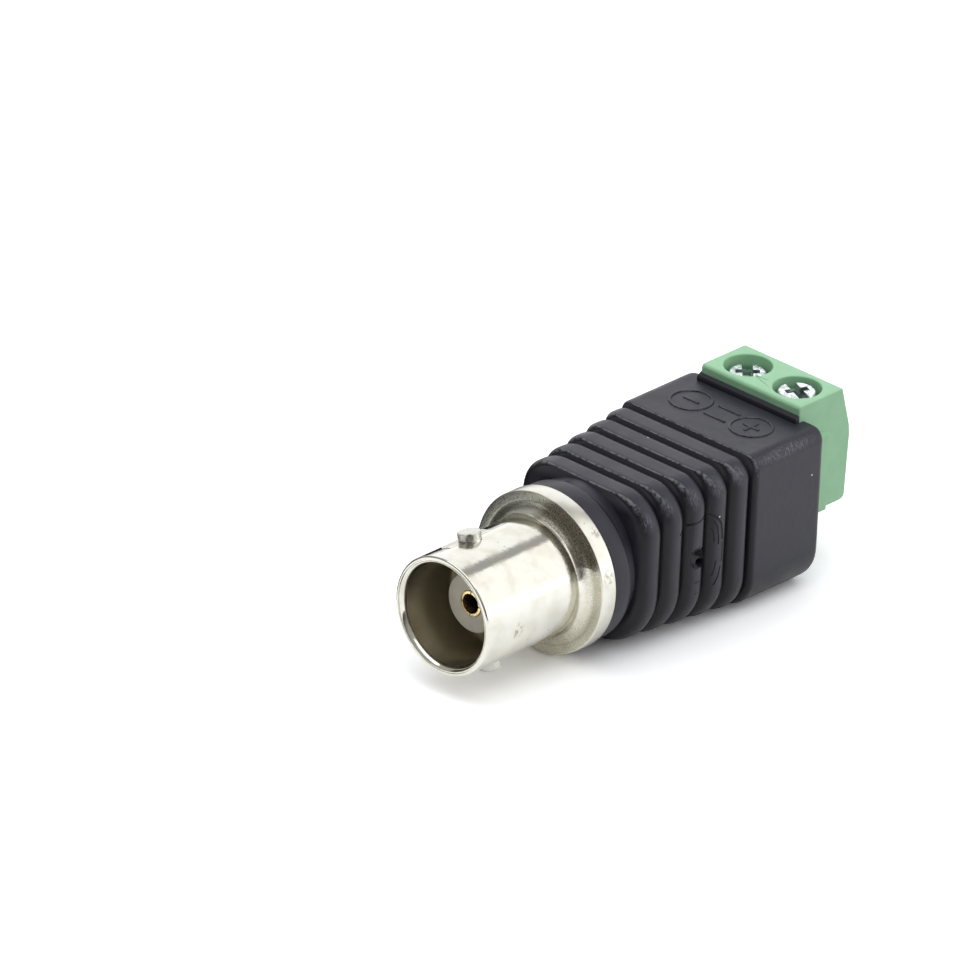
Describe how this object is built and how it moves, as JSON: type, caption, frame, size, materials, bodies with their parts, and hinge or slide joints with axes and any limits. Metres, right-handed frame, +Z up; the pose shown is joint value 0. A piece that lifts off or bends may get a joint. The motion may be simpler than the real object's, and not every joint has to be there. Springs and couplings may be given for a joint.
{
  "type": "video balun",
  "caption": "Barrel adapter with a bayonet coaxial jack at one end of a ribbed body and a screw terminal block at the other.",
  "frame": {"origin": "centre of the jack's mouth, on the barrel axis", "axes": "+Y along the barrel axis from the mouth to the wire entries, +Z up through the screw heads, +X towards the plus pole"},
  "size_m": [0.0142, 0.04, 0.0148],
  "materials": {
    "nickel": "plated",
    "dielectric": "satin",
    "gold": "plated",
    "tin_brass": "tinned",
    "zinc_steel": "zinc plated",
    "black_moulding": "satin",
    "green_housing": "satin",
    "ferrite": "sintered",
    "enamelled_wire": "enamelled"
  },
  "bodies": {
    "adapter": {"jack_shell": "nickel", "jack_dielectric": "dielectric", "centre_contact": "gold", "earth_tag": "tin_brass", "ferrite_core": "ferrite", "jack_side_winding": "enamelled_wire", "terminal_side_winding": "enamelled_wire", "signal_lead": "enamelled_wire", "earth_lead": "enamelled_wire", "plus_lead": "enamelled_wire", "minus_lead": "enamelled_wire", "moulded_body": "black_moulding", "terminal_housing": "green_housing", "minus_wire_cage": "tin_brass", "plus_wire_cage": "tin_brass", "minus_contact_bar": "tin_brass", "plus_contact_bar": "tin_brass"},
    "minus_plate": {"minus_pressure_plate": "zinc_steel"},
    "minus_screw": {"minus_clamp_screw": "zinc_steel"},
    "plus_plate": {"plus_pressure_plate": "zinc_steel"},
    "plus_screw": {"plus_clamp_screw": "zinc_steel"}
  },
  "joints": [
    {"name": "minus_plate_travel", "type": "slide", "parent": "adapter", "child": "minus_plate", "axis": [0, 0, 1], "range_m": [-0.00125, 0.00053]},
    {"name": "minus_screw_turn", "type": "hinge", "parent": "minus_plate", "child": "minus_screw", "pos_m": [-0.00254, 0.0365, 0.006], "axis": [0, 0, 1], "range_deg": [-1001, 425]},
    {"name": "plus_plate_travel", "type": "slide", "parent": "adapter", "child": "plus_plate", "axis": [0, 0, 1], "range_m": [-0.00153, 0.00026]},
    {"name": "plus_screw_turn", "type": "hinge", "parent": "plus_plate", "child": "plus_screw", "pos_m": [0.00254, 0.0365, 0.006], "axis": [0, 0, 1], "range_deg": [-1225, 209]}
  ],
  "couplings": [
    {"joint": "minus_screw_turn", "follows": "minus_plate_travel", "rad_per_m": 13963},
    {"joint": "plus_screw_turn", "follows": "plus_plate_travel", "rad_per_m": 13963}
  ]
}
